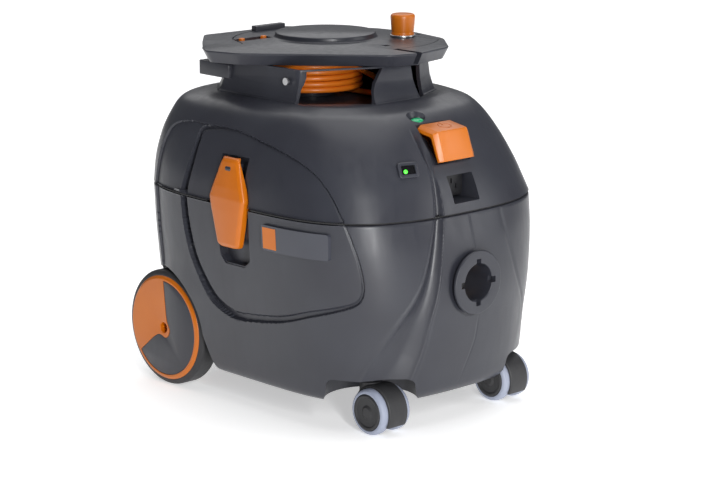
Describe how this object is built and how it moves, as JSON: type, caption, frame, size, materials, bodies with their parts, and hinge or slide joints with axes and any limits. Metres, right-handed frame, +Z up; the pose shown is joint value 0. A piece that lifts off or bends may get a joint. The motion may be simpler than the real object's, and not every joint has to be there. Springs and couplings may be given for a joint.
{
  "type": "canister vacuum cleaner",
  "caption": "Dry tub vacuum on two large rear wheels and twin-wheel front casters, with a lift-off motor head, side latches, hose inlet and a cord store under the top plate.",
  "frame": {"origin": "on the floor, under the middle of the machine's bounding box without its cord", "axes": "+Z up; -Y out of the hose inlet at the front; +X to the right of a viewer who faces the front"},
  "size_m": [0.336, 0.432, 0.4135],
  "materials": {
    "body_plastic": "fine moulded texture, slightly blue charcoal grey",
    "dark_plastic": "near-black moulded plastic",
    "rubber": "soft black rubber",
    "wheel_tyre": "black rubber",
    "caster_tread": "pale blue-grey soft tread",
    "orange_plastic": "satin orange",
    "orange_cord": "orange flexible sheath",
    "steel": "bright zinc-plated steel",
    "fan_aluminium": "pressed sheet",
    "bag_fleece": "white fleece",
    "card": "stiff brown card",
    "badge": "plain blank badge",
    "board": "circuit board",
    "lens_green": "translucent green"
  },
  "bodies": {
    "tub": {"tub_shell": "body_plastic", "inlet_ring": "body_plastic", "inlet_seal": "rubber", "bag_collar": "card", "filter_bag": "bag_fleece", "rear_axle": "steel", "tool_park_bracket": "body_plastic", "lid_seal": "rubber", "side_badge": "badge"},
    "rear_wheel_left": {"rear_tyre_left": "wheel_tyre", "rear_hub_left": "orange_plastic", "rear_insert_left": "body_plastic"},
    "rear_wheel_right": {"rear_tyre_right": "wheel_tyre", "rear_hub_right": "orange_plastic", "rear_insert_right": "body_plastic"},
    "caster_left": {"caster_hood_left": "dark_plastic", "caster_stem_left": "steel", "caster_axle_left": "steel"},
    "caster_left_outer_wheel": {"caster_wheel_left_outer": "dark_plastic", "caster_tyre_left_outer": "caster_tread"},
    "caster_left_inner_wheel": {"caster_wheel_left_inner": "dark_plastic", "caster_tyre_left_inner": "caster_tread"},
    "caster_right": {"caster_hood_right": "dark_plastic", "caster_stem_right": "steel", "caster_axle_right": "steel"},
    "caster_right_outer_wheel": {"caster_wheel_right_outer": "dark_plastic", "caster_tyre_right_outer": "caster_tread"},
    "caster_right_inner_wheel": {"caster_wheel_right_inner": "dark_plastic", "caster_tyre_right_inner": "caster_tread"},
    "head": {"head_shell": "body_plastic", "cable_neck": "body_plastic", "top_plate": "body_plastic", "plate_clip": "orange_plastic", "neck_screws": "steel", "cable_core": "body_plastic", "cord_gland": "rubber", "head_floor": "dark_plastic", "motor_housing": "steel", "motor_filter": "bag_fleece", "filter_cage": "dark_plastic", "exhaust_filter": "bag_fleece", "exhaust_grille": "dark_plastic", "outlet_socket": "dark_plastic", "led_window": "dark_plastic", "status_led": "lens_green", "bag_full_lens": "lens_green", "power_switch": "dark_plastic", "control_board": "board", "latch_pins": "steel", "arm_pin": "steel", "cord_coil": "orange_cord", "cord_ends": "orange_cord", "plug": "dark_plastic"},
    "motor_rotor": {"motor_shaft": "steel", "fan_wheel": "fan_aluminium"},
    "power_button": {"power_button": "orange_plastic"},
    "latch_left": {"latch_left": "orange_plastic"},
    "latch_right": {"latch_right": "orange_plastic"},
    "release_arm": {"release_arm": "body_plastic"},
    "release_knob": {"release_knob": "orange_plastic"}
  },
  "joints": [
    {"name": "rear_wheel_left_roll", "type": "hinge", "parent": "tub", "child": "rear_wheel_left", "pos_m": [-0.135, 0.134, 0.066], "axis": [1, 0, 0], "continuous": true},
    {"name": "rear_wheel_right_roll", "type": "hinge", "parent": "tub", "child": "rear_wheel_right", "pos_m": [0.135, 0.134, 0.066], "axis": [1, 0, 0], "continuous": true},
    {"name": "caster_left_swivel", "type": "hinge", "parent": "tub", "child": "caster_left", "pos_m": [-0.0925, -0.1475, 0.06], "axis": [0, 0, 1], "continuous": true},
    {"name": "caster_left_outer_roll", "type": "hinge", "parent": "caster_left", "child": "caster_left_outer_wheel", "pos_m": [-0.0925, -0.1635, 0.025], "axis": [1, 0, 0], "continuous": true},
    {"name": "caster_left_inner_roll", "type": "hinge", "parent": "caster_left", "child": "caster_left_inner_wheel", "pos_m": [-0.0925, -0.1635, 0.025], "axis": [1, 0, 0], "continuous": true},
    {"name": "caster_right_swivel", "type": "hinge", "parent": "tub", "child": "caster_right", "pos_m": [0.0925, -0.1475, 0.06], "axis": [0, 0, 1], "continuous": true},
    {"name": "caster_right_outer_roll", "type": "hinge", "parent": "caster_right", "child": "caster_right_outer_wheel", "pos_m": [0.0925, -0.1635, 0.025], "axis": [1, 0, 0], "continuous": true},
    {"name": "caster_right_inner_roll", "type": "hinge", "parent": "caster_right", "child": "caster_right_inner_wheel", "pos_m": [0.0925, -0.1635, 0.025], "axis": [1, 0, 0], "continuous": true},
    {"name": "head_lift", "type": "slide", "parent": "tub", "child": "head", "axis": [0, 0, 1], "range_m": [0, 0.15]},
    {"name": "motor_spin", "type": "hinge", "parent": "head", "child": "motor_rotor", "pos_m": [0, 0.0325, 0.26], "axis": [0, 0, 1], "continuous": true},
    {"name": "power_button_press", "type": "hinge", "parent": "head", "child": "power_button", "pos_m": [0, -0.1545, 0.316], "axis": [1, 0, 0], "range_deg": [0, 3], "stiffness_Nm_per_rad": 1, "springref_deg": -171.89},
    {"name": "latch_left_swing", "type": "hinge", "parent": "head", "child": "latch_left", "pos_m": [-0.16, 0.0005, 0.27], "axis": [0, 1, 0], "range_deg": [0, 60]},
    {"name": "latch_right_swing", "type": "hinge", "parent": "head", "child": "latch_right", "pos_m": [0.16, 0.0005, 0.27], "axis": [0, -1, 0], "range_deg": [0, 60]},
    {"name": "release_arm_swing", "type": "hinge", "parent": "head", "child": "release_arm", "pos_m": [0.1245, 0.0045, 0.38], "axis": [0, 0, 1], "range_deg": [0, 65]},
    {"name": "release_knob_turn", "type": "hinge", "parent": "head", "child": "release_knob", "pos_m": [0.099, 0.0035, 0.395], "axis": [0, 0, 1], "range_deg": [0, 90]}
  ]
}
